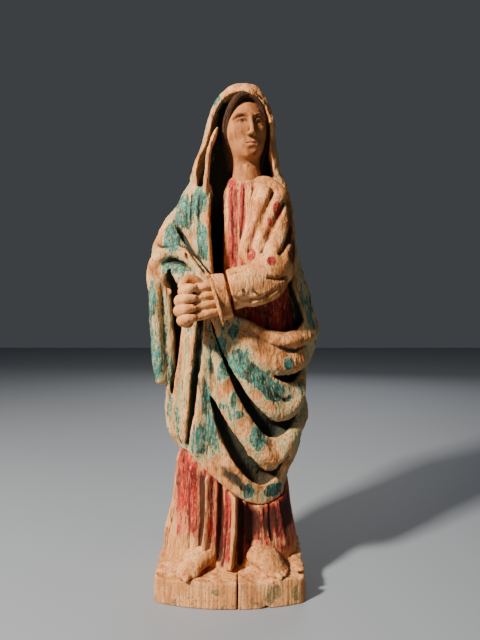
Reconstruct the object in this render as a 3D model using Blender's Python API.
"""Carved and painted wooden madonna, 480 mm tall, built as a carver pieces one together.

Long blocks are glued on flat faces and pinned with dowels: a plinth, the skirt, the mantle with its
front folds, hip fold and arm drape, the hood, the bodice, one sleeve with its cuff, the clasped hands,
the head and two feet. Each block is its own object, cut flat where it meets its neighbour.

Sizes are in millimetres here and become metres in the meshes. +Z is up, the figure looks towards -Y,
+X is the viewer's right, and the origin is the centre of the plinth's underside.
"""

import math

import bmesh
import bpy
import numpy as np
from mathutils import Matrix, Vector

MM = 0.001
GAP = 0.3

# Driving dimensions
PLINTH_HALF_WIDTH = 65.0
PLINTH_FRONT = -55.0
PLINTH_CORNER_Y = -42.0
PLINTH_BACK = 50.0
PLINTH_TOP = 22.0
SHOULDER_Z = 372.0
NECK_Z = 381.0
HEM_Z = 107.0
HEM_SLOPE = -0.49
POCKET_Y = -6.0
APRON_Y = -22.0
HIP_X = 56.0
DRAPE_X = -38.0
DRAPE_Y = -4.0
HANDS_Y = -40.0
FOREARM_Y = -26.0
ARM_X = 27.0
CAVITY_BACK_Y = 12.0
UNWRAP_RADIUS = 60.0
FAR = 120.0

# Materials: colour, roughness, metallic
FINISHES = {
    "bare_wood": ((0.62, 0.42, 0.26), 0.8, 0.0),
    "mantle_paint": ((0.22, 0.44, 0.42), 0.6, 0.0),
    "dress_paint": ((0.50, 0.10, 0.08), 0.5, 0.0),
    "flesh_paint": ((0.76, 0.55, 0.38), 0.6, 0.0),
    "dowel_wood": ((0.55, 0.38, 0.22), 0.8, 0.0),
    "iron": ((0.12, 0.10, 0.09), 0.6, 1.0),
}

# Outlines of the blocks' masses: height, left, right, front, back
SKIRT_ROWS = [
    (22, -61, 60, -34, 40),
    (42, -61, 60, -33, 40),
    (62, -56, 57, -32, 38),
    (82, -53, 53, -31, 37),
    (104, -50, 50, -30, 36),
    (135, -48, 50, -28, 35),
]
MANTLE_ROWS = [
    (76, -51, 52, -33, 39),
    (100, -51, 52, -34, 40),
    (123, -50, 62, -36, 42),
    (147, -60, 67, -38, 44),
    (171, -61, 69, -40, 45),
    (196, -59, 67, -40, 45),
    (220, -60, 74, -38, 45),
    (236, -62, 80, -36, 45),
    (250, -64, 80, -33, 45),
    (269, -68, 77, -31, 44),
    (293, -74, 70, -29, 43),
    (318, -75, 63, -28, 42),
    (342, -64, 60, -26, 41),
    (360, -51, 58, -24, 40),
    (372, -45, 56, -24, 39),
]
HOOD_ROWS = [
    (372, -45, 56, -24, 39),
    (386, -39, 53, -21, 38),
    (405, -31, 47, -21, 37),
    (425, -25, 43, -26, 36),
    (444, -22, 40, -30, 35),
    (460, -17, 36, -30, 32),
    (472, -10, 29, -24, 27),
    (478, -1, 20, -13, 18),
    (480, 5, 13, -5, 8),
]
DRAPE_ROWS = [
    (184, -73, -60, -20, -4),
    (194, -75, -56, -23, -2),
    (230, -76, -54, -26, -2),
    (270, -78, -50, -28, -2),
    (292, -79, -42, -32, -2),
    (308, -74, -40, -32, -2),
    (317, -66, -44, -26, -2),
]
DRAPE_MIDDLE_Y = -12.0
BODICE_ROWS = [
    (232, -13, 62, -21, 20),
    (262, -13, 56, -22, 20),
    (300, -13, 48, -24, 20),
    (340, -13, 46, -25, 20),
    (366, -12, 42, -23, 20),
    (382, -8, 34, -19, 20),
]

# Folds on the mantle: points (x or angle, height), height of the crest, width above it, width below it.
# A point's first value is x in front of the figure, and ("turn", angle) where it has gone round the side.
MANTLE_FOLDS = [
    ([(-8, 250), (13, 241), (28, 232), (44, 230), (62, 236), ("turn", 95, 246)], 5.0, 7, 6),
    ([(-8, 240), (11, 221), (28, 208), (48, 201), (62, 202), ("turn", 90, 212)], 7.0, 13, 4),
    ([(-15, 251), (-4, 227), (8, 203), (22, 184), (38, 168), (58, 172), ("turn", 100, 196)], 8.5, 14, 4),
    ([(-16, 227), (-4, 192), (11, 161), (24, 139), (36, 120), (54, 134), ("turn", 95, 160)], 8.5, 14, 4),
    ([(-44, 131), (-32, 122), (-10, 104), (8, 90), (28, 81), (52, 86)], 2.5, 12, 4),
    ([(-40, 242), (-44, 220), (-48, 190), (-50, 160), (-47, 138)], 4.0, 4, 4),
    ([(-21, 244), (-22, 214), (-25, 178), (-28, 142), (-29, 124)], 5.0, 7, 6),
    ([(-20, 222), (-15, 190), (-8, 151), (1, 116), (6, 98)], 4.0, 7, 7),
    ([(-60, 352), (-42, 322), (-24, 292)], 4.5, 5, 5),
    ([(-42, 358), (-30, 328), (-22, 300)], 3.5, 4, 4),
    ([(-46, 300), (-50, 240), (-52, 188)], -9.0, 6, 7),
    ([(-34, 244), (-36, 200), (-40, 150)], -4.0, 4, 4),
    ([("turn", 130, 360), ("turn", 128, 260), ("turn", 120, 110)], 4.0, 9, 9),
    ([("turn", 165, 360), ("turn", 160, 240), ("turn", 158, 100)], 4.5, 10, 10),
    ([("turn", -160, 360), ("turn", -163, 240), ("turn", -168, 120)], 4.5, 10, 10),
    ([("turn", -122, 330), ("turn", -128, 240), ("turn", -132, 135)], 4.0, 9, 9),
]
SKIRT_FOLDS = [
    ([(-50, 118), (-55, 74), (-60, 26)], 4.5, 5, 5),
    ([(-33, 120), (-31, 68), (-30, 24)], 6.0, 8, 7),
    ([(-18, 110), (-19, 60), (-20, 24)], 6.0, 4.5, 3.5),
    ([(2, 100), (2, 53), (0, 24)], 8.5, 5, 4),
    ([(14, 95), (14, 55), (14, 24)], 6.0, 3.5, 3.5),
    ([(28, 92), (28, 55), (29, 24)], 5.0, 5, 5),
    ([(42, 90), (44, 50), (46, 24)], 4.0, 5, 5),
    ([("turn", 105, 90), ("turn", 105, 24)], 4.0, 7, 7),
    ([("turn", 140, 95), ("turn", 140, 24)], 4.0, 8, 8),
    ([("turn", 178, 100), ("turn", 178, 24)], 4.0, 9, 9),
    ([("turn", -145, 110), ("turn", -145, 24)], 4.0, 8, 8),
    ([("turn", -110, 115), ("turn", -110, 24)], 4.0, 7, 7),
]
DRAPE_FOLDS = [
    ([(-75, 296), (-73, 240), (-70, 196)], 2.0, 4, 4),
    ([(-62, 292), (-62, 240), (-64, 190)], -7.0, 4, 4),
    ([(-54, 292), (-56, 240), (-58, 196)], 2.0, 4, 4),
    ([(-74, 290), (-66, 305), (-54, 309), (-44, 304)], 3.0, 4, 4),
]
BODICE_FOLDS = [
    ([(-7, 372), (-7, 320), (-6, 280)], 3.0, 3, 3),
    ([(3, 374), (3, 320), (2, 285)], 3.5, 3, 3),
    ([(14, 372), (13, 330), (10, 300)], 3.0, 3, 3),
]

# Tube centre lines: x, y, z, radius
SLEEVE_LINE = [
    (36, -15, 366, 11),
    (41, -19, 348, 15),
    (42, -21, 318, 18),
    (41, -26, 292, 20),
    (30, -36, 281, 21),
    (14, -42, 280, 22),
    (2, -45, 280, 22),
]
CUFF_LINE = [(6, -46, 279, 17), (-8, -49, 271, 19), (-12, -50, 269, 19)]
HAND_LINES = [
    [(-10, -49, 269, 11), (-20, -50, 266, 13), (-32, -49, 263, 13)],
    [(-16, -54, 277, 4.5), (-30, -57, 278, 4.5), (-41, -53, 277, 4.5), (-44, -46, 276, 4)],
    [(-16, -57, 269, 4.5), (-31, -60, 269, 4.5), (-43, -55, 268, 4.5), (-46, -46, 267, 4)],
    [(-16, -57, 261, 4.5), (-30, -60, 260, 4.5), (-42, -55, 259, 4.5), (-45, -46, 258, 4)],
    [(-18, -53, 253, 4.2), (-29, -56, 252, 4.2), (-39, -52, 250, 4.2), (-42, -46, 249, 4)],
    [(-16, -48, 280, 4.5), (-27, -50, 285, 4.5), (-37, -50, 285, 4)],
]
HEAD_BALLS = [
    ((14, -6, 432), (20, 22, 25)),
    ((13, -12, 418), (16, 17, 20)),
]
NECK_LINE = [(14, -9, 376, 14), (14, -9, 396, 12.5), (14, -8, 412, 13)]
# Feet: centre of the instep, direction to the toes in degrees from -Y, length, half width, height
FEET = {
    "left_foot": ((-34, -33, PLINTH_TOP), -20, 19, 11, 17),
    "right_foot": ((34, -30, PLINTH_TOP), 28, 19, 11, 17),
}

CUTTERS = []


def finish_of(name):
    """The Principled material of a finish, made once."""
    found = bpy.data.materials.get(name)
    if found:
        return found
    colour, roughness, metallic = FINISHES[name]
    made = bpy.data.materials.new(name)
    made.use_nodes = True
    shader = made.node_tree.nodes["Principled BSDF"]
    shader.inputs["Base Color"].default_value = (*colour, 1.0)
    shader.inputs["Roughness"].default_value = roughness
    shader.inputs["Metallic"].default_value = metallic
    return made


def add_object(name, bm, finish):
    """Puts a bmesh in the scene as a named, smooth-shaded object."""
    bmesh.ops.recalc_face_normals(bm, faces=bm.faces)
    mesh = bpy.data.meshes.new(name)
    bm.to_mesh(mesh)
    bm.free()
    mesh.shade_smooth()
    mesh.set_sharp_from_angle(angle=math.radians(50))
    mesh.materials.append(finish_of(finish))
    made = bpy.data.objects.new(name, mesh)
    bpy.context.scene.collection.objects.link(made)
    return made


def as_cutter(made):
    """Marks an object as a helper that the part leaves out."""
    made.hide_render = True
    made.display_type = "WIRE"
    return made


# ---- shapes -------------------------------------------------------------------------------------


def prism(name, outline, low, high, along):
    """A closed prism: an outline in the two other axes, extruded along X, Y or Z from low to high."""
    order = {"X": (2, 0, 1), "Y": (0, 2, 1), "Z": (0, 1, 2)}[along]
    bm = bmesh.new()
    ends = []
    for level in (low, high):
        ring = []
        for first, second in outline:
            point = (first, second, level)
            ring.append(bm.verts.new([point[i] * MM for i in order]))
        ends.append(ring)
    bm.faces.new(ends[0])
    bm.faces.new(ends[1])
    count = len(outline)
    for i in range(count):
        j = (i + 1) % count
        bm.faces.new([ends[0][i], ends[0][j], ends[1][j], ends[1][i]])
    return add_object(name, bm, "bare_wood")


def slab(name, x, y, z):
    """A box cutter from (low, high) pairs."""
    outline = [(x[0], y[0]), (x[1], y[0]), (x[1], y[1]), (x[0], y[1])]
    return as_cutter(prism(name, outline, z[0], z[1], "Z"))


def row_at(rows, z):
    """Left, right, front and back of a mass at a height, eased between its rows."""
    table = np.array(rows, float)
    slopes = np.gradient(table[:, 1:], table[:, 0], axis=0)
    z = min(max(z, table[0, 0]), table[-1, 0])
    i = min(int(np.searchsorted(table[:, 0], z, side="right")) - 1, len(rows) - 2)
    span = table[i + 1, 0] - table[i, 0]
    t = (z - table[i, 0]) / span
    ease = [2 * t**3 - 3 * t**2 + 1, (t**3 - 2 * t**2 + t) * span, 3 * t**2 - 2 * t**3, (t**3 - t**2) * span]
    return (
        ease[0] * table[i, 1:] + ease[1] * slopes[i] + ease[2] * table[i + 1, 1:] + ease[3] * slopes[i + 1]
    )


def unwrapped(rows, points):
    """Fold points as (distance round the figure, height)."""
    flat = []
    for point in points:
        if point[0] == "turn":
            angle, z = math.radians(point[1]), point[2]
        else:
            x, z = point
            left, right, _, _ = row_at(rows, z)
            share = (x - (left + right) / 2) / ((right - left) / 2)
            angle = math.asin(min(max(share, -0.999), 0.999))
        flat.append((angle * UNWRAP_RADIUS, z))
    return flat


def fold_height(flat, crest, above, below, u, z):
    """How far a fold stands out at (u, z): full at its crest line, fading to both sides and its ends."""
    best, height = 1e9, 0.0
    for (u0, z0), (u1, z1) in zip(flat, flat[1:]):
        du, dz = u1 - u0, z1 - z0
        length = math.hypot(du, dz)
        t = min(max(((u - u0) * du + (z - z0) * dz) / length**2, 0.0), 1.0)
        distance = math.hypot(u - u0 - t * du, z - z0 - t * dz)
        if distance < best:
            side = du * (z - z0) - dz * (u - u0)
            best = distance
            height = crest * math.exp(-((distance / (above if side > 0 else below)) ** 2))
    return height


def loft(name, rows, folds, levels, segments, finish, middle=0.0):
    """A closed mass of rings round y = middle, closer together in front, with folds in and out of it."""
    flats = [(unwrapped(rows, points), *sizes) for points, *sizes in folds]
    bm = bmesh.new()
    rings = []
    for z in levels:
        left, right, front, back = row_at(rows, z)
        ring = []
        for i in range(segments):
            angle = 2 * math.pi * i / segments
            if angle > math.pi:
                angle -= 2 * math.pi
            angle -= 0.3 * math.sin(angle)
            depth = middle - front if math.cos(angle) > 0 else back - middle
            half = (right - left) / 2
            radius = 1 / math.hypot(math.sin(angle) / half, math.cos(angle) / depth)
            heights = [fold_height(*flat, angle * UNWRAP_RADIUS, z) for flat in flats] + [0.0]
            radius += max(heights) + min(heights)
            x = (left + right) / 2 + radius * math.sin(angle)
            y = middle - radius * math.cos(angle)
            ring.append(bm.verts.new((x * MM, y * MM, z * MM)))
        rings.append(ring)
    for lower, upper in zip(rings, rings[1:]):
        for i in range(segments):
            j = (i + 1) % segments
            bm.faces.new([lower[i], lower[j], upper[j], upper[i]])
    bm.faces.new(rings[0])
    bm.faces.new(rings[-1])
    return add_object(name, bm, finish)


def add_tube(bm, line, sides=16):
    """Adds a round-ended tube through points with their own radii."""
    points = [Vector(p[:3]) for p in line]
    radii = [p[3] for p in line]
    rings = []
    for i, (centre, radius) in enumerate(zip(points, radii)):
        along = (points[min(i + 1, len(points) - 1)] - points[max(i - 1, 0)]).normalized()
        turn = Vector((0, 0, 1)).rotation_difference(along).to_matrix()
        ring = []
        for k in range(sides):
            angle = 2 * math.pi * k / sides
            offset = turn @ Vector((radius * math.cos(angle), radius * math.sin(angle), 0))
            ring.append(bm.verts.new((centre + offset) * MM))
        rings.append(ring)
    for lower, upper in zip(rings, rings[1:]):
        for k in range(sides):
            m = (k + 1) % sides
            bm.faces.new([lower[k], lower[m], upper[m], upper[k]])
    for ring, centre, toward, radius in (
        (rings[0], points[0], points[0] - points[1], radii[0]),
        (rings[-1], points[-1], points[-1] - points[-2], radii[-1]),
    ):
        tip = bm.verts.new((centre + toward.normalized() * radius * 0.4) * MM)
        for k in range(sides):
            bm.faces.new([ring[k], ring[(k + 1) % sides], tip])


def add_ball(bm, centre, radii, turn=0.0):
    """Adds an ellipsoid, turned about Z by an angle in degrees."""
    matrix = (
        Matrix.Translation(Vector(centre) * MM)
        @ Matrix.Rotation(math.radians(turn), 4, "Z")
        @ Matrix.Diagonal((*[r * MM for r in radii], 1.0))
    )
    bmesh.ops.create_uvsphere(bm, u_segments=20, v_segments=12, radius=1.0, matrix=matrix)


def carved(name, finish, tubes=(), balls=(), voxel=2.5, smooth=4, keep_share=0.3):
    """Tubes and balls fused into one carved lump by a voxel remesh, smoothed and thinned out."""
    bm = bmesh.new()
    for line in tubes:
        add_tube(bm, line)
    for ball in balls:
        add_ball(bm, *ball)
    made = add_object(name, bm, finish)
    remesh = made.modifiers.new("fuse", "REMESH")
    remesh.mode = "VOXEL"
    remesh.voxel_size = voxel * MM
    remesh.use_smooth_shade = True
    soften = made.modifiers.new("soften", "SMOOTH")
    soften.factor = 0.5
    soften.iterations = smooth
    thin = made.modifiers.new("thin", "DECIMATE")
    thin.ratio = keep_share
    return made


def rod(name, start, end, radius, finish, sides=12):
    """A straight round pin between two points."""
    a, b = Vector(start), Vector(end)
    turn = Vector((0, 0, 1)).rotation_difference((b - a).normalized()).to_matrix().to_4x4()
    bm = bmesh.new()
    bmesh.ops.create_cone(
        bm,
        cap_ends=True,
        segments=sides,
        radius1=radius * MM,
        radius2=radius * MM,
        depth=(b - a).length * MM,
        matrix=Matrix.Translation((a + b) / 2 * MM) @ turn,
    )
    return add_object(name, bm, finish)


def boolean(made, cutter, operation):
    """Adds a live Boolean with a cutter."""
    step = made.modifiers.new(f"{operation.lower()}_{cutter.name}"[:60], "BOOLEAN")
    step.operation = operation
    step.object = cutter
    step.solver = "EXACT"
    return made


def cut(made, *cutters):
    for cutter in cutters:
        boolean(made, cutter, "DIFFERENCE")
    return made


def keep(made, *cutters):
    for cutter in cutters:
        boolean(made, cutter, "INTERSECT")
    return made


def dowel(name, start, end, radius, *blocks, finish="dowel_wood"):
    """A pin in a hole that is a gap wider and a gap longer at both ends, bored through its blocks."""
    rod(name, start, end, radius, finish)
    a, b = Vector(start), Vector(end)
    more = (b - a).normalized() * GAP
    bore = as_cutter(rod(f"{name}_bore", a - more, b + more, radius + GAP, finish))
    for block in blocks:
        cut(block, bore)


# ---- sub-parts ----------------------------------------------------------------------------------


def plinth():
    """The thick foot of the block: square sides, a bowed front, and a drying crack open at the front."""
    bow = 9
    outline = []
    for i in range(bow + 1):
        x = PLINTH_HALF_WIDTH * (2 * i / bow - 1) * 0.94
        y = PLINTH_CORNER_Y + (PLINTH_FRONT - PLINTH_CORNER_Y) * (1 - (x / PLINTH_HALF_WIDTH) ** 2)
        outline.append((x, y))
    edge = PLINTH_HALF_WIDTH
    outline += [(edge, PLINTH_CORNER_Y + 3), (edge, PLINTH_BACK - 4), (edge - 4, PLINTH_BACK)]
    outline += [(-edge + 4, PLINTH_BACK), (-edge, PLINTH_BACK - 4), (-edge, PLINTH_CORNER_Y + 3)]
    made = prism("plinth", outline, 0.0, PLINTH_TOP, "Z")
    crack_x, crack_width, crack_end = 6.0, 0.8, -20.0
    crack = [(crack_x - crack_width, -FAR), (crack_x + crack_width, -FAR), (crack_x, crack_end)]
    return cut(made, as_cutter(prism("plinth_crack", crack, -5.0, FAR, "Z")))


def foot_room(name, centre, grow):
    """The box that a foot fills in front of the skirt, as a prism on the plinth."""
    x, y, _ = centre
    half = 13.5 + grow
    return as_cutter(
        prism(name, [(x - half, -FAR), (x + half, -FAR), (x + half, y + grow), (x - half, y + grow)],
              PLINTH_TOP + GAP - grow, 46.0 + grow, "Z")
    )


def foot(name, skirt_block, plinth_block):
    """A bare foot from the instep to five toes, glued against the skirt's front."""
    centre, turn, length, half, height = FEET[name]
    x, y, z = centre
    toward = Matrix.Rotation(math.radians(turn), 3, "Z") @ Vector((0, -1, 0))
    across = Vector((-toward.y, toward.x, 0))
    balls = [((x, y, z + 4), (half, 16, height), turn)]
    middle = Vector(centre) + toward * length * 0.55
    balls.append(((middle.x, middle.y, z + 3), (half * 0.95, length * 0.6, height * 0.55), turn))
    for i in range(5):
        side = (i - 2) / 2
        toe = Vector(centre) + toward * (length * (0.98 - 0.14 * side * side)) + across * side * (half - 2.5)
        balls.append(((toe.x, toe.y, z + 2.5), (2.6, 5.0, 3.6), turn))
    made = carved(name, "flesh_paint", balls=balls, voxel=1.5, smooth=2, keep_share=0.25)
    keep(made, foot_room(f"{name}_room", centre, 0.0))
    cut(skirt_block, foot_room(f"{name}_seat", centre, GAP))
    pin = (x, y - 6, PLINTH_TOP)
    dowel(f"{name}_dowel", (pin[0], pin[1], pin[2] - 9), (pin[0], pin[1], pin[2] + 8), 2.2, made, plinth_block)
    return made


def below_hem(name, gap):
    """Everything under the sloping hem, down past the plinth."""
    left, right = HEM_Z - HEM_SLOPE * FAR - gap, HEM_Z + HEM_SLOPE * FAR - gap
    return as_cutter(prism(name, [(-FAR, -FAR), (FAR, -FAR), (FAR, right), (-FAR, left)], -FAR, FAR, "Y"))


def skirt():
    """The lower dress with its pleats, from the plinth up to the mantle's hem."""
    levels = [PLINTH_TOP + GAP, 34, 48, 64, 80, 96, 112, 135]
    made = loft("skirt", SKIRT_ROWS, SKIRT_FOLDS, levels, 84, "dress_paint")
    return keep(made, below_hem("skirt_top", GAP / 2))


def pocket(name, grow):
    """The room in front of the mantle where the bodice and the sleeve are set in."""
    outline = [
        (-19 - grow, SHOULDER_Z + 20),
        (-20 - grow, 361),
        (-17 - grow, 324),
        (-15 - grow, 291),
        (-15 - grow, 254 - grow),
        (0, 250 - grow),
        (14, 243 - grow),
        (29, 236 - grow),
        (45, 234 - grow),
        (62, 239 - grow),
        (FAR, 250 - grow),
        (FAR, SHOULDER_Z + 20),
    ]
    return as_cutter(prism(name, outline, -FAR, POCKET_Y + grow, "Y"))


def cavity(name, back, share=1.0):
    """The hollow of the hood that the head sits in, open to the front, or a smaller copy of it."""
    outline = [(-19, 360), (-20, 395), (-18, 415), (-12, 435), (-4, 448), (8, 454), (22, 452)]
    outline += [(31, 442), (36, 425), (37, 400), (40, 386), (70, 380), (70, 360)]
    outline = [(12 + (x - 12) * share, 410 + (z - 410) * share) for x, z in outline]
    return as_cutter(prism(name, outline, -FAR, back, "Y"))


def mantle_mass(name):
    """The whole wrapped mantle from its hem to the shoulders, before it is cut into blocks."""
    levels = [76] + [83.3 + 6.0 * i for i in range(48)] + [SHOULDER_Z]
    made = loft(name, MANTLE_ROWS, MANTLE_FOLDS, levels, 84, "mantle_paint")
    return cut(made, below_hem(f"{name}_hem", -GAP / 2))


def drape_room(name, grow):
    """The corner at the figure's right elbow where the hanging drape is set in."""
    outline = [(-FAR, 176), (DRAPE_X - 14 + grow, 176), (DRAPE_X - 11 + grow, 262)]
    outline += [(DRAPE_X + grow, 285), (DRAPE_X + grow, 318 + grow), (-FAR, 318 + grow)]
    return as_cutter(prism(name, outline, -FAR, DRAPE_Y + grow, "Y"))


def hip_room(name, grow):
    return slab(name, (HIP_X - grow, FAR), (-FAR, FAR), (134 - grow, 262 + grow))


def apron_room(name, grow):
    return slab(name, (-19 - grow, HIP_X - GAP), (-FAR, APRON_Y + grow), (60, 256 + grow))


def hands_room(name, grow):
    return slab(name, (-60, 12), (-FAR, HANDS_Y + grow), (238 - grow, 330))


def mantle_blocks():
    """The mantle's main block, its front folds and the fold over the hip."""
    main = mantle_mass("mantle_body")
    cut(main, pocket("mantle_pocket", 0.0), drape_room("mantle_drape_seat", GAP), hands_room("mantle_hands", GAP))
    cut(main, hip_room("mantle_hip_seat", GAP), apron_room("mantle_apron_seat", GAP))
    apron = mantle_mass("apron_folds")
    keep(apron, apron_room("apron_block", 0.0))
    cut(apron, pocket("apron_pocket", 0.0), hands_room("apron_hands", GAP))
    hip = mantle_mass("hip_fold")
    keep(hip, hip_room("hip_block", 0.0))
    cut(hip, pocket("hip_pocket", 0.0))
    return main, apron, hip


def hood_front():
    """What is taken off the hood's lower front for the chest and the sloping shoulder."""
    outline = [(-19, 360), (FAR, 360), (FAR, 374), (52, 378), (41, 390), (-19, 390)]
    return as_cutter(prism("hood_front", outline, -FAR, POCKET_Y, "Y"))


def hood():
    """The mantle over the head, with the hollow for the face."""
    levels = [SHOULDER_Z + GAP, 386, 396, 406, 416, 426, 436, 445, 454, 462, 469, 475, 480]
    made = loft("hood", HOOD_ROWS, [], levels, 48, "mantle_paint")
    return cut(made, cavity("hood_cavity", CAVITY_BACK_Y), hood_front())


def arm_room(name, gap):
    """Beside the bodice for the upper arm, in front of it for the forearm, as an L in plan."""
    outline = [(ARM_X + gap, POCKET_Y - GAP), (FAR, POCKET_Y - GAP), (FAR, -FAR), (-30, -FAR)]
    outline += [(-30, FOREARM_Y - gap), (ARM_X + gap, FOREARM_Y - gap)]
    return as_cutter(prism(name, outline, 252 + gap, 400, "Z"))


def under_elbow(name, gap):
    """The part of the bodice that stays below the elbow, at the hip."""
    return slab(name, (ARM_X - gap, FAR), (FOREARM_Y - gap, FAR), (200, 268 + gap))


def bodice():
    """The chest and waist of the dress, set into the mantle's pocket."""
    levels = [236 + 12.0 * i for i in range(12)] + [NECK_Z - GAP]
    made = loft("bodice", BODICE_ROWS, BODICE_FOLDS, levels, 64, "dress_paint")
    keep(made, pocket("bodice_room", -GAP))
    return cut(made, cut(arm_room("bodice_arm_seat", 0.0), under_elbow("bodice_hip", 0.0)))


def sleeve():
    """The left arm in its wide sleeve, from the shoulder round the elbow to the open end."""
    made = carved("sleeve", "dress_paint", tubes=[SLEEVE_LINE], voxel=2.5, smooth=6, keep_share=0.25)
    end = slab("sleeve_end", (-FAR, 3.0), (-FAR, FAR), (200, 330))
    return cut(keep(made, arm_room("sleeve_block", GAP)), end, under_elbow("sleeve_hip", GAP))


def cuff():
    """The turned-back cuff standing between the sleeve and the hand."""
    made = carved("cuff", "dress_paint", tubes=[CUFF_LINE], voxel=2.0, smooth=3, keep_share=0.25)
    keep(made, slab("cuff_block", (-12, 3.0 - GAP), (-FAR, HANDS_Y - GAP), (238, 300)))
    return made


def hands():
    """The clasped hands, carved as one piece."""
    made = carved("hands", "flesh_paint", tubes=HAND_LINES, voxel=1.8, smooth=2, keep_share=0.25)
    return keep(made, slab("hands_block", (-60, -12 - GAP), (-FAR, HANDS_Y), (238, 300)))


def arm_drape():
    """The end of the mantle that hangs over the figure's right forearm."""
    levels = [184 + 7.0 * i for i in range(19)] + [317]
    made = loft("arm_drape", DRAPE_ROWS, DRAPE_FOLDS, levels, 36, "mantle_paint", DRAPE_MIDDLE_Y)
    return keep(made, drape_room("drape_block", 0.0))


def head():
    """Face, skull and neck, glued against the back of the hood's hollow."""
    made = carved("head", "flesh_paint", tubes=[NECK_LINE], balls=HEAD_BALLS, voxel=2.0, smooth=3, keep_share=0.25)
    above_bodice = slab("head_block", (-FAR, FAR), (-FAR, FAR), (NECK_Z, FAR * 5))
    return keep(made, cavity("head_room", CAVITY_BACK_Y - GAP, 0.94), above_bodice)


def build():
    for old in list(bpy.data.objects):
        bpy.data.objects.remove(old)
    plinth_block = plinth()
    skirt_block = skirt()
    for name in FEET:
        foot(name, skirt_block, plinth_block)
    main, apron, hip = mantle_blocks()
    hood_block = hood()
    bodice_block = bodice()
    sleeve_block = sleeve()
    cuff_block = cuff()
    hands_block = hands()
    drape_block = arm_drape()
    head_block = head()
    for side, x in (("left", -22), ("right", 26)):
        dowel(f"plinth_dowel_{side}", (x, 10, 10), (x, 10, 44), 5, plinth_block, skirt_block)
        hem = HEM_Z + HEM_SLOPE * x
        dowel(f"skirt_dowel_{side}", (x, 10, hem - 22), (x, 10, hem + 22), 5, skirt_block, main)
        dowel(f"hood_dowel_{side}", (x + 2, 24, 356), (x + 2, 24, 388), 4, main, hood_block)
    for level, z in (("upper", 196), ("lower", 128)):
        dowel(f"apron_dowel_{level}", (18, -31, z), (18, -8, z), 3.5, apron, main)
    for level, z in (("upper", 226), ("lower", 176)):
        dowel(f"hip_dowel_{level}", (42, 6, z), (64, 6, z), 3.5, hip, main)
    for level, z in (("upper", 298), ("lower", 276)):
        dowel(f"drape_dowel_{level}", (-60, -15, z), (-60, 8, z), 3, drape_block, main)
    dowel("bodice_dowel", (8, -15, 330), (8, 8, 330), 3.5, bodice_block, main)
    dowel("neck_dowel", (14, -12, 370), (14, -12, 396), 3.5, bodice_block, head_block)
    dowel("wrist_dowel", (-24, -51, 267), (7, -47, 276.5), 3, hands_block, cuff_block, sleeve_block)
    for side, x in (("left", 11), ("right", 20)):
        dowel(f"sleeve_nail_{side}", (x, -60, 274), (x, -14, 274), 1.1, sleeve_block, bodice_block, finish="iron")


build()
